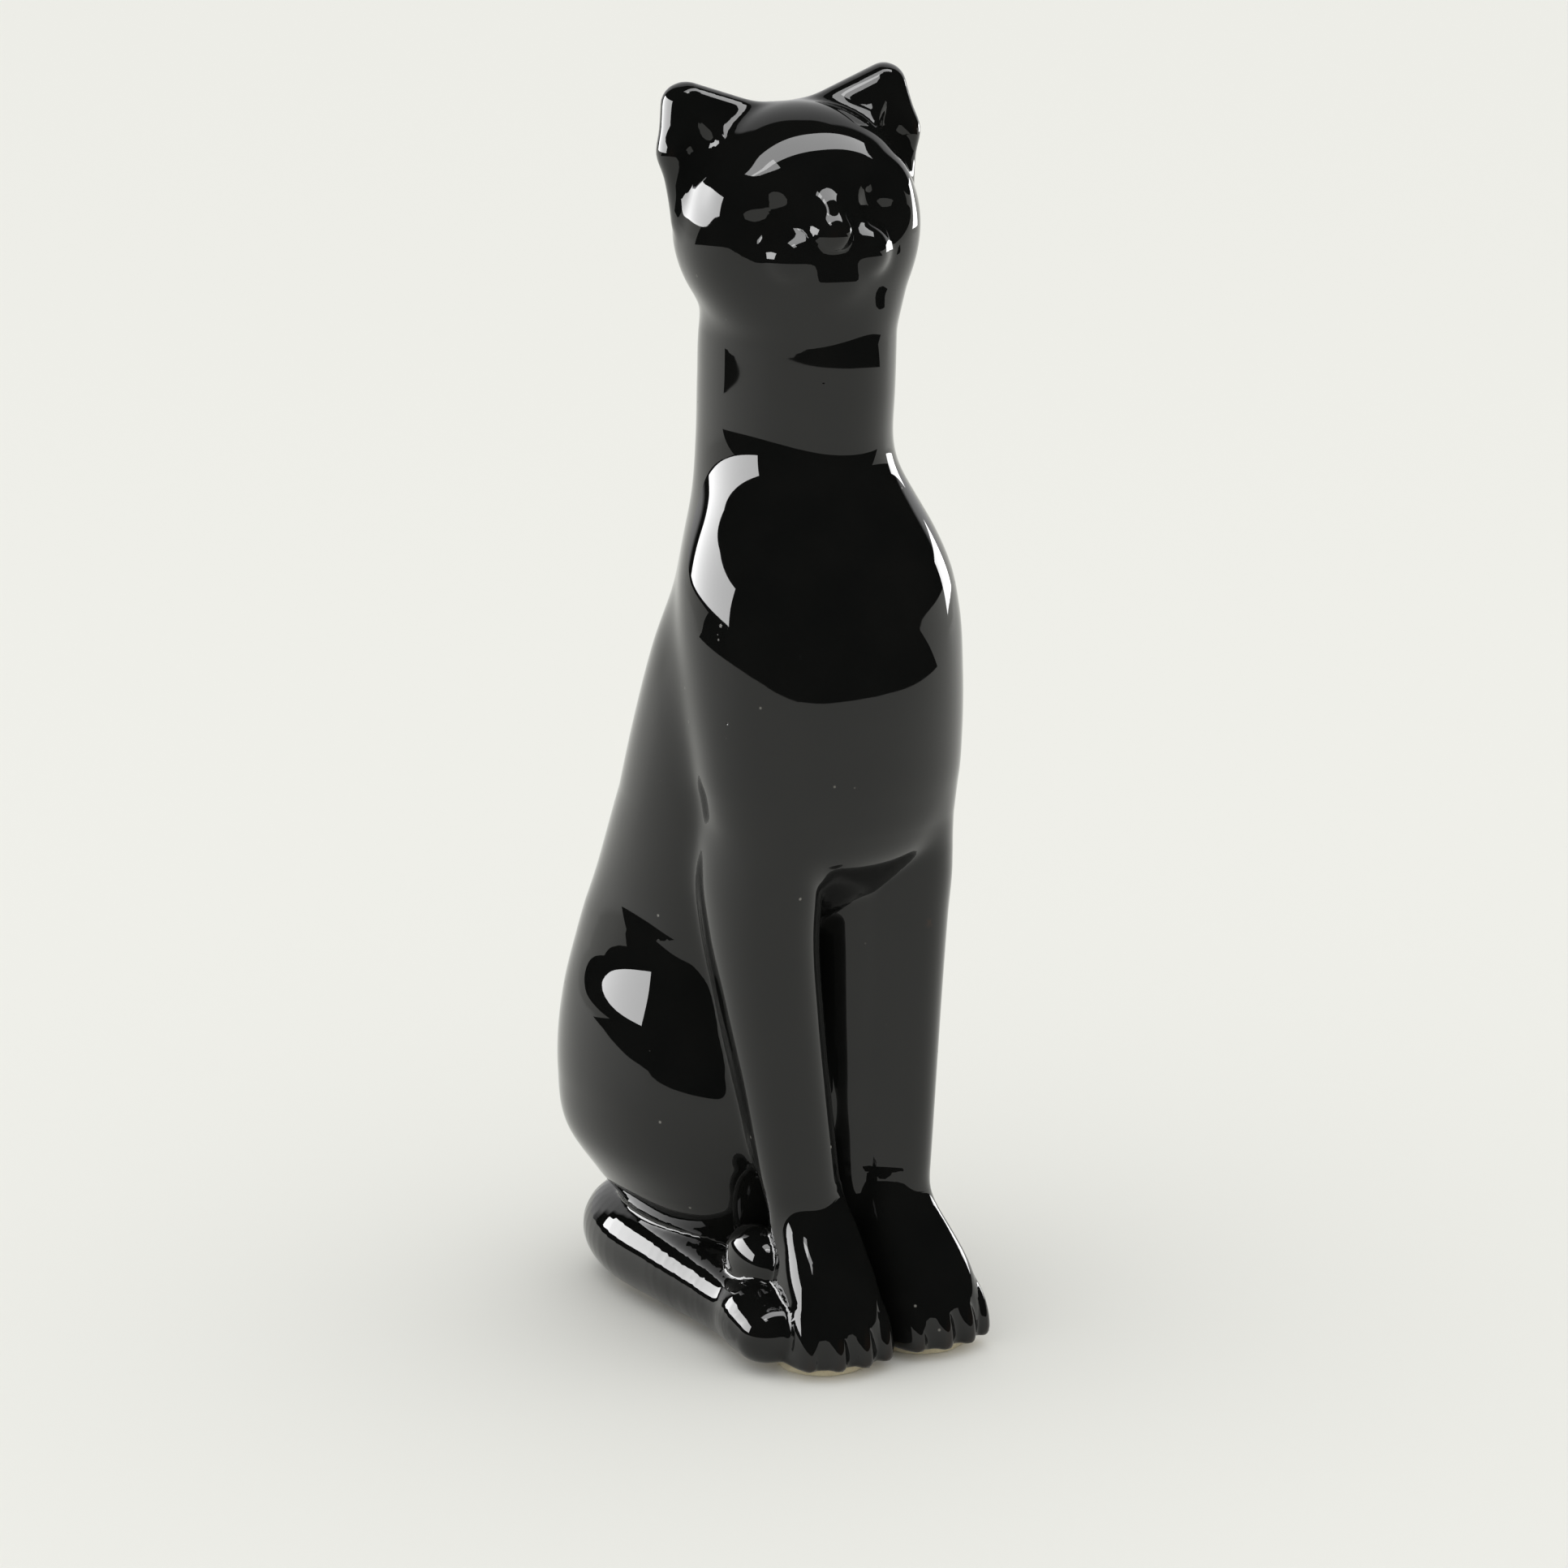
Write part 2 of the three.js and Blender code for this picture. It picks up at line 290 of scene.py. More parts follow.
def tube(points, radii, count=48):
    """A round limb along a smooth curve, its thickness changing along it."""
    line = curve_through([(*p, r) for p, r in zip(points, radii)], count)
    path, size = line[:, :3], line[:, 3]
    box = ((path - size[:, None]).min(axis=0), (path + size[:, None]).max(axis=0))

    def shape(p):
        best = np.full(len(p), 1e3)
        for a, b, ra, rb in zip(path[:-1], path[1:], size[:-1], size[1:]):
            ab = b - a
            t = np.clip((p - a) @ ab / (ab @ ab), 0, 1)
            away = p - a - t[:, None] * ab
            best = np.minimum(best, np.sqrt((away**2).sum(axis=1)) - (ra + (rb - ra) * t))
        return best

    return shape, box


def mirrored(point, side):
    """A point of the cat's left side, or its twin on the right where side is -1."""
    return side * point[0], point[1], point[2]


def merge(a, b, blend):
    """The union of two distances with a fillet about as wide as blend."""
    h = np.maximum(blend - np.abs(a - b), 0) / blend
    return np.minimum(a, b) - h**3 * blend / 6


def carve(a, b, blend):
    """What is left of a after b is cut away, with softened edges."""
    return -merge(-a, b, blend)


class Sculpt:
    """A list of shapes that are added or carved in turn, each near its own box only."""

    def __init__(self):
        self.steps = []

    def add(self, made, blend, place=None):
        self.steps.append((merge, *made, blend, place))

    def cut(self, made, blend, place=None):
        self.steps.append((carve, *made, blend, place))

    def field(self, points):
        away = np.full(len(points), EMPTY)
        for how, shape, box, blend, place in self.steps:
            local = place(points) if place else points
            margin = blend + 12  # past it a shape has no say
            near = np.ones(len(points), bool)
            for axis in range(3):
                near &= (local[:, axis] > box[0][axis] - margin) & (local[:, axis] < box[1][axis] + margin)
            if near.any():
                away[near] = how(away[near], shape(local[near]), blend)
        return away


# ---- The cat ----
HEAD_SPIN = turned((0, math.degrees(HEAD_LEAN), math.degrees(HEAD_TURN)))


def in_head(points):
    """Points as the head sees them: it faces -Y about its own centre."""
    return (points - HEAD_CENTRE) @ HEAD_SPIN


def build_body(cat):
    def squareness(z):
        return np.interp(z, *np.transpose(SQUARENESS))

    cat.add(column_shape(BACK, power=squareness), 1)
    cat.add(column_shape(CHEST), 7)


def build_paw(paws, side):
    """A blunt wedge with four toes that swell over its front edge."""
    middle, turn = (side * PAW_MIDDLE[0], PAW_MIDDLE[1]), side * PAW_TURN
    spin = turned((0, 0, turn))
    paws.add(column_shape(PAW, side, PAW_POWER, turn, middle), 1.0)
    for across, front, half in TOES:
        local = spin @ np.array([across, front + TOE_LENGTH - middle[1], 0])
        centre = (middle[0] + local[0], middle[1] + local[1], TOE_LEVEL)
        paws.add(egg(centre, (half, TOE_LENGTH, TOE_HEIGHT), (TOE_TILT, 0, turn)), 1.0)


def build_forelegs(cat):
    legs, paws = Sculpt(), Sculpt()
    for side in (-1, 1):
        legs.add(column_shape(FORELEG, side), 5)
        build_paw(paws, side)
    legs.add(column_shape(WEB), 4)
    legs.add((paws.field, PAWS_BOX), 4)
    cat.add((legs.field, LEGS_BOX), 5)


def build_hind_paws(cat):
    for side in (-1, 1):
        cat.add(egg(mirrored(HIND_PAW[0], side), HIND_PAW[1], (0, 0, side * 4)), 1.2)
        cat.add(egg(mirrored(HIND_SOLE[0], side), HIND_SOLE[1]), 3)


def build_tail(cat):
    points = [(x, y, BASE_Z + TAIL_RADIUS * (size - 0.12)) for x, y, size in TAIL]
    cat.add(tube(points, [TAIL_RADIUS * size for _, _, size in TAIL]), 2)


def plate(a, b, c, radius):
    """A triangular plate with round edges, its corners given as three points."""
    a, b, c = (np.array(v, float) for v in (a, b, c))
    low = np.minimum(np.minimum(a, b), c) - radius
    high = np.maximum(np.maximum(a, b), c) + radius
    normal = np.cross(b - a, c - a)

    def shape(p):
        inside = np.ones(len(p), bool)
        nearest = np.full(len(p), np.inf)
        for start, end in ((a, b), (b, c), (c, a)):
            edge = end - start
            t = np.clip((p - start) @ edge / (edge @ edge), 0, 1)
            nearest = np.minimum(nearest, np.linalg.norm(p - start - t[:, None] * edge, axis=1))
            inside &= (p - start) @ np.cross(normal, edge) > 0
        flat = np.abs((p - a) @ normal) / np.linalg.norm(normal)
        return np.where(inside, flat, nearest) - radius

    return shape, (low, high)


def build_ear(head, side):
    """The ear: a thick plate up to the tip, and a fin that leans on it along the front of the crown."""
    corners = (EAR_TIP, EAR_OUTER, EAR_LOW, EAR_CROWN, EAR_FRONT, FIN_TIP, FIN_CROWN)
    tip, outer, low, crown, front, fin_tip, fin_crown = (mirrored(corner, side) for corner in corners)
    ear = Sculpt()
    ear.add(plate(tip, outer, crown, 4.2), 1)
    ear.add(plate(outer, low, crown, 4.0), 3)
    ear.add(plate(fin_tip, front, fin_crown, 1.6), 5)
    ear.cut(egg(mirrored(EAR_CUP[0], side), EAR_CUP[1], (0, side * 6, side * -24)), 3)
    head.add((ear.field, EAR_BOX), 3)


def build_head(cat):
    head = Sculpt()
    head.add(boxy_egg(*SKULL, SKULL_POWER), 1)
    head.add(egg(*JAW), 9)
    for side in (-1, 1):
        build_ear(head, side)
    head.add(egg(*MUZZLE), 6)
    for side in (-1, 1):
        head.cut(egg(mirrored(SOCKET[0], side), SOCKET[1]), 4)
        head.add(egg(mirrored(EYE[0], side), EYE[1], (0, 0, side * 20)), 3.5)
        head.add(egg(mirrored(WHISKER_PAD[0], side), WHISKER_PAD[1]), 2.2)
    head.add(egg(*BRIDGE, (8, 0, 0)), 3)
    head.add(egg(*NOSE), 1.6)
    cat.add((head.field, HEAD_BOX), 3.5, in_head)


def floor_cut(cat):
    """The underside: cut flat, its edge rounded by the glaze, with the vent hole in it."""
    box = ((-90, -90, -40), (90, 120, BASE_Z))
    cat.cut((lambda p: p[:, 2] - BASE_Z, box), BASE_EDGE)
    section = (VENT_FRONT, VENT_BACK, VENT_HALF)
    cat.cut(column_shape([(-4, *section), (VENT_TOP, *section)]), 0.8)


cat = Sculpt()
build_body(cat)
build_forelegs(cat)
build_hind_paws(cat)
build_tail(cat)
build_head(cat)
floor_cut(cat)


# ---- Meshing ----
def surface_net(field, low, high, cell):
    """Vertices and quads round the zero of a field on a regular grid."""
    counts = [int((high[a] - low[a]) / cell) + 2 for a in range(3)]
    axes = [low[a] + cell * np.arange(counts[a]) for a in range(3)]
    values = np.empty(counts, np.float32)
    yy, zz = np.meshgrid(axes[1], axes[2], indexing="ij")
    slab = 8  # layers worked out at a time, to save memory
    for start in range(0, counts[0], slab):
        xs = axes[0][start : start + slab]
        block = np.empty((len(xs), *yy.shape, 3))
        block[..., 0] = xs[:, None, None]
        block[..., 1] = yy
        block[..., 2] = zz
        values[start : start + slab] = field(block.reshape(-1, 3)).reshape(len(xs), *yy.shape)
    inside = values < 0
    cells = [n - 1 for n in counts]
    total, hits = np.zeros((*cells, 3)), np.zeros(cells)

    def corner(a, dx, dy, dz):
        return a[dx : dx + cells[0], dy : dy + cells[1], dz : dz + cells[2]]

    offsets = [(dx, dy, dz) for dx in (0, 1) for dy in (0, 1) for dz in (0, 1)]
    for a in offsets:
        for axis in range(3):
            if a[axis]:
                continue
            b = tuple(v + (k == axis) for k, v in enumerate(a))
            va, vb = corner(values, *a), corner(values, *b)
            cross = corner(inside, *a) != corner(inside, *b)
            t = np.where(cross, va / np.where(cross, va - vb, 1), 0)
            for k in range(3):
                total[..., k] += np.where(cross, a[k] + (t if k == axis else 0), 0)
            hits += cross
    used = hits > 0
    index = np.full(cells, -1)
    index[used] = np.arange(used.sum())
    where = np.argwhere(used)
    points = np.array(low) + cell * (where + total[used] / hits[used][:, None])
    quads = []
    for axis in range(3):
        u, v = (axis + 1) % 3, (axis + 2) % 3
        a = np.moveaxis(inside, axis, 0)
        change = np.moveaxis(a[:-1] != a[1:], 0, axis)
        sign = np.moveaxis(a[:-1], 0, axis)
        at = np.argwhere(change)
        at = at[(at[:, u] > 0) & (at[:, v] > 0) & (at[:, u] < cells[u]) & (at[:, v] < cells[v])]
        step_u, step_v = np.eye(3, dtype=int)[u], np.eye(3, dtype=int)[v]
        ring = [at - step_u - step_v, at - step_v, at, at - step_u]
        quad = np.stack([index[tuple(r.T)] for r in ring], axis=1)
        out = sign[tuple(at.T)]
        quad[~out] = quad[~out][:, ::-1]
        quads.append(quad)
    return points, np.vstack(quads)


def settle(field, points, rounds=2, step=0.05):
    """Points moved onto the zero of the field, and the field's outward directions there."""
    for turn in range(rounds + 1):
        middle = field(points)
        slope = np.stack(
            [field(points + step * axis) - field(points - step * axis) for axis in np.eye(3)],
            axis=1,
        ) / (2 * step)
        length = np.sqrt((slope**2).sum(axis=1)) + 1e-9
        if turn < rounds:
            move = np.clip(middle / length, -0.6, 0.6)
            points = points - (move / length)[:, None] * slope
    return points, slope / length[:, None]


def casting_mesh():
    points, quads = surface_net(cat.field, *CAT_BOX, CELL)
    points, normals = settle(cat.field, points)
    mesh = bpy.data.meshes.new("ceramic_cat")
    mesh.from_pydata(((points + SHIFT) * MM).tolist(), [], quads.tolist())
    mesh.polygons.foreach_set("use_smooth", [True] * len(mesh.polygons))
    mesh.normals_split_custom_set_from_vertices(normals.tolist())
    mesh.update()
    return mesh


def add_piece(name, mesh):
    piece = bpy.data.objects.new(name, mesh)
    bpy.context.scene.collection.objects.link(piece)
    return piece


# ---- Materials ----
def new_material(name):
    material = bpy.data.materials.new(name)
    material.use_nodes = True
    nodes, links = material.node_tree.nodes, material.node_tree.links
    return material, nodes, links, nodes["Principled BSDF"]


def maths(nodes, links, operation, a, b=0.0, c=0.0):
    node = nodes.new("ShaderNodeMath")
    node.operation = operation
    for socket, value in zip(node.inputs, (a, b, c)):
        if isinstance(value, (int, float)):
            socket.default_value = value
        else:
            links.new(value, socket)
    return node.outputs[0]


def ramp(nodes, links, value, stops):
    """A colour ramp; stops are (position, grey or colour)."""
    node = nodes.new("ShaderNodeValToRGB")
    elements = node.color_ramp.elements
    while len(elements) < len(stops):
        elements.new(0.5)
    for element, (position, colour) in zip(elements, stops):
        element.position = position
        element.color = colour if isinstance(colour, tuple) else (colour, colour, colour, 1)
    links.new(value, node.inputs["Fac"])
    return node.outputs["Color"]


def noise(nodes, links, scale, detail=3.0, roughness=0.5, where=None):
    node = nodes.new("ShaderNodeTexNoise")
    node.inputs["Scale"].default_value = scale
    node.inputs["Detail"].default_value = detail
    node.inputs["Roughness"].default_value = roughness
    links.new(where or nodes.new("ShaderNodeTexCoord").outputs["Object"], node.inputs["Vector"])
    return node.outputs["Fac"]


def mixed(nodes, links, share, a, b):
    """Colour a turning to colour b as the share rises."""
    node = nodes.new("ShaderNodeMix")
    node.data_type = "RGBA"
    links.new(share, node.inputs["Factor"])
    for name, colour in (("A", a), ("B", b)):
        if isinstance(colour, tuple):
            node.inputs[name].default_value = colour
        else:
            links.new(colour, node.inputs[name])
    return node.outputs["Result"]


def bumped(nodes, links, height, distance, strength=1.0, below=None):
    node = nodes.new("ShaderNodeBump")
    node.inputs["Distance"].default_value = distance
    node.inputs["Strength"].default_value = strength
    links.new(height, node.inputs["Height"])
    if below is not None:
        links.new(below, node.inputs["Normal"])
    return node.outputs["Normal"]


def specks(nodes, links, scale, size, share):
    """Small round dots at some of the points of a random lattice."""
    cells = nodes.new("ShaderNodeTexVoronoi")
    cells.inputs["Scale"].default_value = scale
    links.new(nodes.new("ShaderNodeTexCoord").outputs["Object"], cells.inputs["Vector"])
    dot = ramp(nodes, links, cells.outputs["Distance"], [(size * 0.4, 1.0), (size, 0.0)])
    tone = nodes.new("ShaderNodeSeparateColor")
    links.new(cells.outputs["Color"], tone.inputs["Color"])
    chosen = maths(nodes, links, "GREATER_THAN", tone.outputs["Red"], 1 - share)
    return maths(nodes, links, "MULTIPLY", dot, chosen)


def glaze_material():
    """Black gloss glaze: brown where it runs thin, dust and pinholes, a faint ripple; bare clay below."""
    material, nodes, links, shader = new_material("black_glaze")
    mottle = noise(nodes, links, 90, 4)
    black = mixed(nodes, links, mottle, (0.0034, 0.0038, 0.0038, 1), (0.007, 0.007, 0.0066, 1))
    edge = nodes.new("ShaderNodeNewGeometry")
    thin = ramp(nodes, links, edge.outputs["Pointiness"], [(0.53, 0.0), (0.6, 1.0)])
    patchy = maths(nodes, links, "MULTIPLY", thin, maths(nodes, links, "MULTIPLY", mottle, 0.9))
    worn = mixed(nodes, links, patchy, black, (0.035, 0.016, 0.008, 1))
    dust = specks(nodes, links, 260, 0.1, 0.1)
    dusty = mixed(nodes, links, maths(nodes, links, "MULTIPLY", dust, 0.5), worn, (0.32, 0.31, 0.28, 1))
    height = nodes.new("ShaderNodeSeparateXYZ")
    links.new(edge.outputs["Position"], height.inputs["Vector"])
    ring = maths(nodes, links, "ADD", maths(nodes, links, "MULTIPLY", height.outputs["Z"], 1000), mottle)
    bare = ramp(nodes, links, maths(nodes, links, "MULTIPLY", ring, 0.1), [(0.255, 1.0), (0.27, 0.0)])
    clay = mixed(nodes, links, noise(nodes, links, 900, 5), (0.5, 0.44, 0.35, 1), (0.66, 0.6, 0.5, 1))
    links.new(mixed(nodes, links, bare, dusty, clay), shader.inputs["Base Color"])
    cloudy = ramp(nodes, links, noise(nodes, links, 35, 5), [(0.35, 0.012), (0.75, 0.034)])
    rough = mixed(nodes, links, maths(nodes, links, "MAXIMUM", bare, dust), cloudy, (0.75, 0.75, 0.75, 1))
    links.new(rough, shader.inputs["Roughness"])
    shader.inputs["IOR"].default_value = 1.45
    ripple = bumped(nodes, links, noise(nodes, links, 55, 2), 0.00006, 0.55)
    pits = specks(nodes, links, 150, 0.045, 0.07)
    links.new(bumped(nodes, links, pits, -0.0001, 0.8, ripple), shader.inputs["Normal"])
    return material


def felt_material():
    """Pressed wool: tangled fibres, slubs and a little grime."""
    material, nodes, links, shader = new_material("cream_felt")
    stretched = nodes.new("ShaderNodeMapping")
    stretched.inputs["Rotation"].default_value = (0.3, 0.2, 0.7)
    stretched.inputs["Scale"].default_value = (1, 2.6, 1)
    links.new(nodes.new("ShaderNodeTexCoord").outputs["Object"], stretched.inputs["Vector"])
    fibres = noise(nodes, links, 2600, 6, 0.75, stretched.outputs["Vector"])
    clumps = noise(nodes, links, 420, 4)
    wool = mixed(nodes, links, fibres, (0.5, 0.43, 0.27, 1), (0.87, 0.81, 0.62, 1))
    grime = maths(nodes, links, "MULTIPLY", clumps, 0.35)
    links.new(mixed(nodes, links, grime, wool, (0.55, 0.47, 0.3, 1)), shader.inputs["Base Color"])
    shader.inputs["Roughness"].default_value = 1
    shader.inputs["Specular IOR Level"].default_value = 0.15
    shader.inputs["Sheen Weight"].default_value = 0.35
    shader.inputs["Sheen Roughness"].default_value = 0.5
    tangle = bumped(nodes, links, fibres, 0.00025, 0.9)
    links.new(bumped(nodes, links, clumps, 0.0004, 0.6, tangle), shader.inputs["Normal"])
    return material


body = add_piece("ceramic_cat", casting_mesh())
body.data.materials.append(glaze_material())
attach(body, "root")
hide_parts("ceramic_body")


# ---- Felt pads ----
PAD_RADIUS, PAD_THICKNESS = 9.0, 1.7
FIBRES = 420  # loose fibres round each pad's cut edge


def turn_steps(count):
    return np.arange(count) * 2 * math.pi / count


def pad_disc(mesh, rng):
    """A pressed disc with a softly uneven rim and faces: rings from the middle out and round."""
    around = 128
    wobble = 1 + sum(
        rng.normal(0, 0.0035) * np.cos(k * turn_steps(around) + rng.uniform(0, 6))
        for k in range(2, 14)
    )
    rings = [(share, 0.0) for share in (0.25, 0.5, 0.7, 0.85, 0.94)]
    rings += [(0.98, 0.1), (1.0, 0.4), (1.006, 0.85), (1.0, 1.3), (0.98, 1.6)]
    rings += [(share, PAD_THICKNESS) for share in (0.94, 0.85, 0.7, 0.5, 0.25)]
    rows = []
    for share, height in rings:
        sag = 0.05 * rng.normal(size=around) * (0 < height < PAD_THICKNESS)
        radius = PAD_RADIUS * share * wobble + sag
        angle = turn_steps(around)
        dimple = 0.05 * rng.random(around) * (height in (0.0, PAD_THICKNESS)) * (1 if height == 0 else -1)
        points = zip(radius * np.cos(angle), radius * np.sin(angle), height + dimple)
        rows.append([mesh.verts.new(point) for point in points])
    for low, high in zip(rows, rows[1:]):
        for i in range(around):
            j = (i + 1) % around
            mesh.faces.new((low[i], low[j], high[j], high[i]))
    for row, height, flip in ((rows[0], 0.0, True), (rows[-1], PAD_THICKNESS, False)):
        middle = mesh.verts.new((0, 0, height))
        for i in range(around):
            a, b = row[i], row[(i + 1) % around]
            mesh.faces.new((b, a, middle) if flip else (a, b, middle))


def pad_fibre(mesh, rng):
    """One stray wool fibre: a thin three-sided hair that leaves the rim and curls."""
    angle, height = rng.uniform(0, 2 * math.pi), rng.uniform(0.25, PAD_THICKNESS - 0.2)
    heading, climb = angle + rng.normal(0, 0.9), rng.normal(0, 0.35)
    place = np.array([math.cos(angle), math.sin(angle), 0]) * (PAD_RADIUS - 0.15) + (0, 0, height)
    length, thick = rng.uniform(0.5, 1.3), rng.uniform(0.018, 0.035)
    curl, rows = rng.normal(0, 0.7), []
    for step in range(4):
        size = thick * (1 - 0.28 * step)
        side = np.array([-math.sin(heading), math.cos(heading), 0]) * size
        corners = (place + side, place - side, place + (0, 0, 1.6 * size))
        rows.append([mesh.verts.new((x, y, min(max(z, 0.05), PAD_THICKNESS))) for x, y, z in corners])
        place = place + np.array([math.cos(heading), math.sin(heading), climb]) * length / 3
        heading += curl
    for low, high in zip(rows, rows[1:]):
        for i in range(3):
            j = (i + 1) % 3
            mesh.faces.new((low[i], low[j], high[j], high[i]))
    mesh.faces.new(rows[0][::-1])
    mesh.faces.new(rows[-1])


def add_pad(node, seed, material):
    rng = np.random.default_rng(seed)
    mesh = bmesh.new()
    pad_disc(mesh, rng)
    for _ in range(FIBRES):
        pad_fibre(mesh, rng)
    low, high = (np.array(corner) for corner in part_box(node))
    centre = (low + high) / 2
    for vert in mesh.verts:
        vert.co = Vector((centre[0], centre[1], low[2])) + vert.co * MM
    data = bpy.data.meshes.new(node + "_wool")
    mesh.to_mesh(data)
    mesh.free()
    data.polygons.foreach_set("use_smooth", [True] * len(data.polygons))
    data.materials.append(material)
    pad = add_piece(node + "_wool", data)
    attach(pad, "root")
    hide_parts(node)


felt = felt_material()
for number, node in enumerate(sorted(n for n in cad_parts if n.startswith("felt_pad"))):
    add_pad(node, 11 + number, felt)

# ---- Camera ----
CAMERA = {"azimuth": -33.0, "distance": 1.185, "height": 0.430, "pitch": 15.1, "yaw": 0.23, "lens": 144.2}
ORIGIN = Vector((SHIFT[0] * MM, SHIFT[1] * MM, 0))


def add_camera():
    data = bpy.data.cameras.new("camera")
    data.sensor_width, data.lens = 36, CAMERA["lens"]
    camera = bpy.data.objects.new("camera", data)
    azimuth = math.radians(CAMERA["azimuth"])
    away = Vector((math.sin(azimuth), -math.cos(azimuth), 0)) * CAMERA["distance"]
    camera.location = ORIGIN + away + Vector((0, 0, CAMERA["height"]))
    heading = azimuth + math.radians(CAMERA["yaw"])
    camera.rotation_euler = (math.radians(90 - CAMERA["pitch"]), 0, heading)
    bpy.context.scene.collection.objects.link(camera)
    bpy.context.scene.camera = camera


add_camera()


# ---- Stage and light ----
TABLE_REACH = 0.87  # the lit table's radius; beyond it reflections see the table painted black, as painted shade of the dark studio
TABLE_HALF = 6
FRONT_EDGE = 0.25  # reflections see the table as painted black shade only nearer than this
BEHIND, ACROSS = (0.545, 0.839, 0), (0.839, -0.545, 0)  # straight back and sideways from the camera
# Lights: azimuth and elevation from the figure, distance, size, brightness as a surface seen.
SOFTBOXES = {
    "softbox_left": (-129, 12.5, 1.15, (1.42, 0.46), 12),
    "softbox_right": (104, 0.5, 1.15, (0.36, 0.24), 8),
}
# The same for the lights that hang level.
STRIPS = {
    "strip_above": (39, 70.3, 1.29, (1.85, 0.42), 7),
    "strip_wing": (-42, 57.2, 1.45, (0.27, 0.3), 7),
}


def light_path(nodes):
    return nodes.new("ShaderNodeLightPath")


def floor_material():
    """A pale table; a reflection sees it pale only as far as the studio light reaches, and painted black
    beyond, as painted shade.
    """
    material, nodes, links, shader = new_material("table")
    shader.inputs["Base Color"].default_value = (0.87, 0.87, 0.845, 1)
    shader.inputs["Roughness"].default_value = 0.85
    shader.inputs["Specular IOR Level"].default_value = 0.2
    place = nodes.new("ShaderNodeNewGeometry").outputs["Position"]
    away = nodes.new("ShaderNodeVectorMath")
    away.operation = "LENGTH"
    links.new(place, away.inputs[0])
    side = nodes.new("ShaderNodeVectorMath")
    side.operation = "DOT_PRODUCT"
    links.new(place, side.inputs[0])
    side.inputs[1].default_value = BEHIND
    far = maths(nodes, links, "GREATER_THAN", away.outputs["Value"], TABLE_REACH)
    front = maths(nodes, links, "LESS_THAN", side.outputs["Value"], FRONT_EDGE)
    glossy = light_path(nodes).outputs["Is Glossy Ray"]
    # painted shade: for reflections the table turns to black emission past the studio light's reach
    dark = maths(nodes, links, "MULTIPLY", maths(nodes, links, "MULTIPLY", far, front), glossy)
    black = nodes.new("ShaderNodeEmission")
    black.inputs["Color"].default_value = (0, 0, 0, 1)
    mix = nodes.new("ShaderNodeMixShader")
    links.new(dark, mix.inputs["Fac"])
    links.new(shader.outputs[0], mix.inputs[1])
    links.new(black.outputs[0], mix.inputs[2])
    links.new(mix.outputs[0], nodes["Material Output"].inputs["Surface"])
    return material


def add_floor():
    mesh = bpy.data.meshes.new("table")
    corners = [(x * TABLE_HALF, y * TABLE_HALF, 0) for x, y in ((-1, -1), (1, -1), (1, 1), (-1, 1))]
    mesh.from_pydata(corners, [], [(0, 1, 2, 3)])
    floor = add_piece("table", mesh)
    mesh.materials.append(floor_material())


def add_light(name, azimuth, elevation, distance, size, radiance):
    """A softbox that faces the figure; its size is in metres and its brightness as a surface seen."""
    data = bpy.data.lights.new(name, "AREA")
    data.shape, data.size, data.size_y = "RECTANGLE", size[0], size[1]
    data.energy = radiance * math.pi * size[0] * size[1]
    light = bpy.data.objects.new(name, data)
    a, e = math.radians(azimuth), math.radians(elevation)
    towards = Vector((math.sin(a) * math.cos(e), -math.cos(a) * math.cos(e), math.sin(e)))
    light.location = ORIGIN + Vector((0, 0, 0.14)) + towards * distance
    light.rotation_euler = towards.to_track_quat("Z", "Y").to_euler()
    bpy.context.scene.collection.objects.link(light)
    light.visible_diffuse = False  # the soft surroundings light the table evenly
    return light


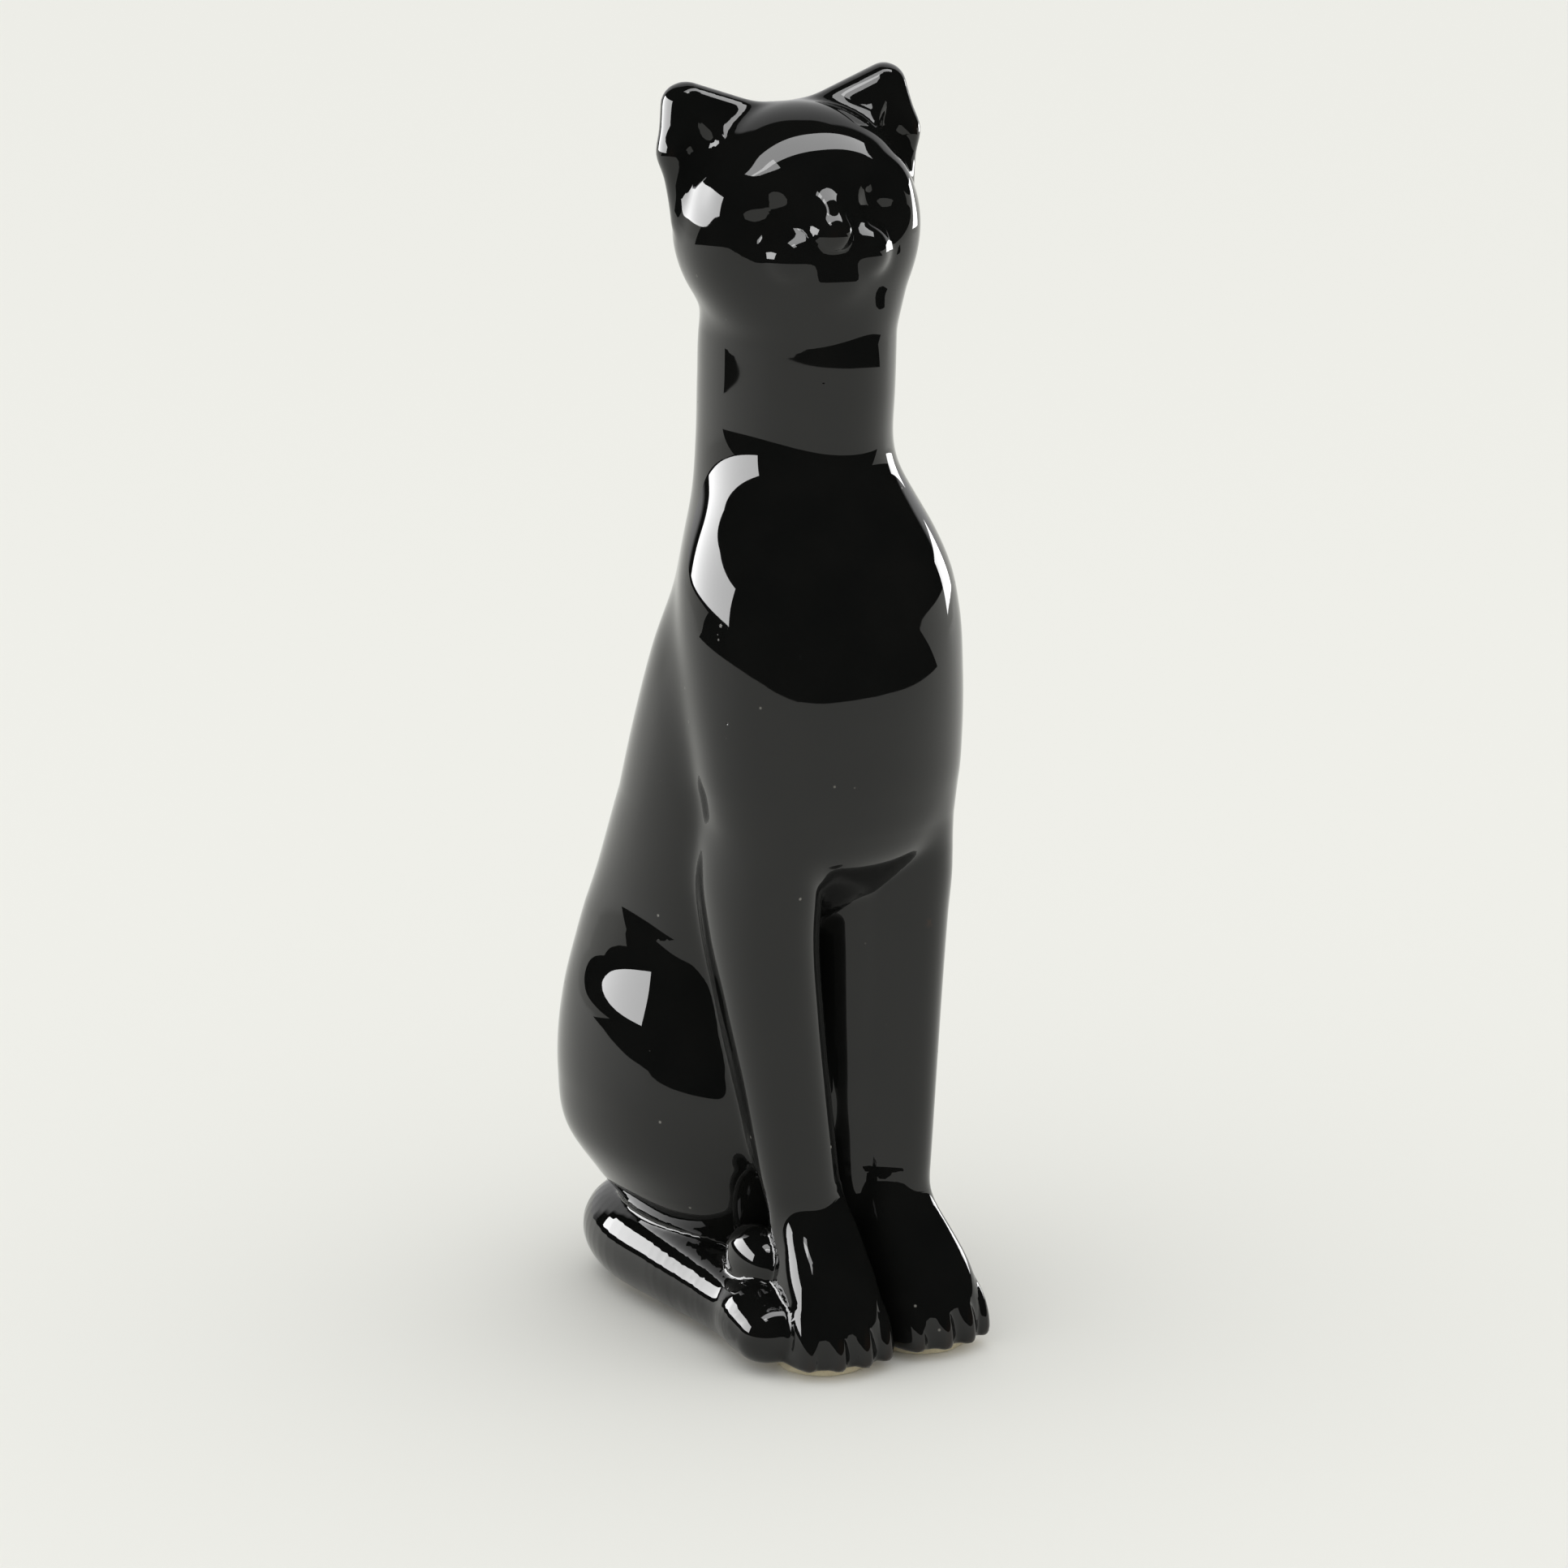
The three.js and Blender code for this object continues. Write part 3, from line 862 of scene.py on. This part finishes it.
def add_world():
    """Pale to the camera and to the table. A reflection sees a pale backdrop in a dark studio."""
    world = bpy.data.worlds.new("studio")
    bpy.context.scene.world = world
    world.use_nodes = True
    nodes, links = world.node_tree.nodes, world.node_tree.links
    towards = nodes.new("ShaderNodeTexCoord").outputs["Generated"]

    def along(direction):
        node = nodes.new("ShaderNodeVectorMath")
        node.operation = "DOT_PRODUCT"
        links.new(towards, node.inputs[0])
        node.inputs[1].default_value = direction
        return node.outputs["Value"]

    behind = maths(nodes, links, "MAXIMUM", along(BEHIND), 0.001)
    across = maths(nodes, links, "ABSOLUTE", maths(nodes, links, "DIVIDE", along(ACROSS), behind))
    above = maths(nodes, links, "DIVIDE", along((0, 0, 1)), behind)
    wide = ramp(nodes, links, maths(nodes, links, "MULTIPLY", across, 0.5), [(0.42, 1.0), (0.5, 0.0)])
    fading = [(0.0, 0.85), (0.55, 0.7), (0.6, 0.0)]
    tall = ramp(nodes, links, maths(nodes, links, "MULTIPLY", above, 0.25), fading)
    backdrop = nodes.new("ShaderNodeMix")
    backdrop.data_type, backdrop.blend_type = "RGBA", "MULTIPLY"
    backdrop.inputs["Factor"].default_value = 1
    links.new(wide, backdrop.inputs["A"])
    links.new(tall, backdrop.inputs["B"])
    glossy = nodes.new("ShaderNodeMix")
    glossy.data_type = "RGBA"
    links.new(light_path(nodes).outputs["Is Glossy Ray"], glossy.inputs["Factor"])
    glossy.inputs["A"].default_value = (1.0, 1.0, 0.97, 1)
    links.new(backdrop.outputs["Result"], glossy.inputs["B"])
    choose = nodes.new("ShaderNodeMix")
    choose.data_type = "RGBA"
    links.new(light_path(nodes).outputs["Is Camera Ray"], choose.inputs["Factor"])
    links.new(glossy.outputs["Result"], choose.inputs["A"])
    choose.inputs["B"].default_value = (0.87, 0.87, 0.81, 1)
    background = nodes["Background"]
    links.new(choose.outputs["Result"], background.inputs["Color"])
    background.inputs["Strength"].default_value = 1


add_floor()
add_world()
for name, place in SOFTBOXES.items():
    add_light(name, *place)
for name, place in STRIPS.items():
    add_light(name, *place).rotation_euler = (0, 0, 0)
bpy.context.scene.view_settings.view_transform = "Standard"

bpy.context.view_layer.update()
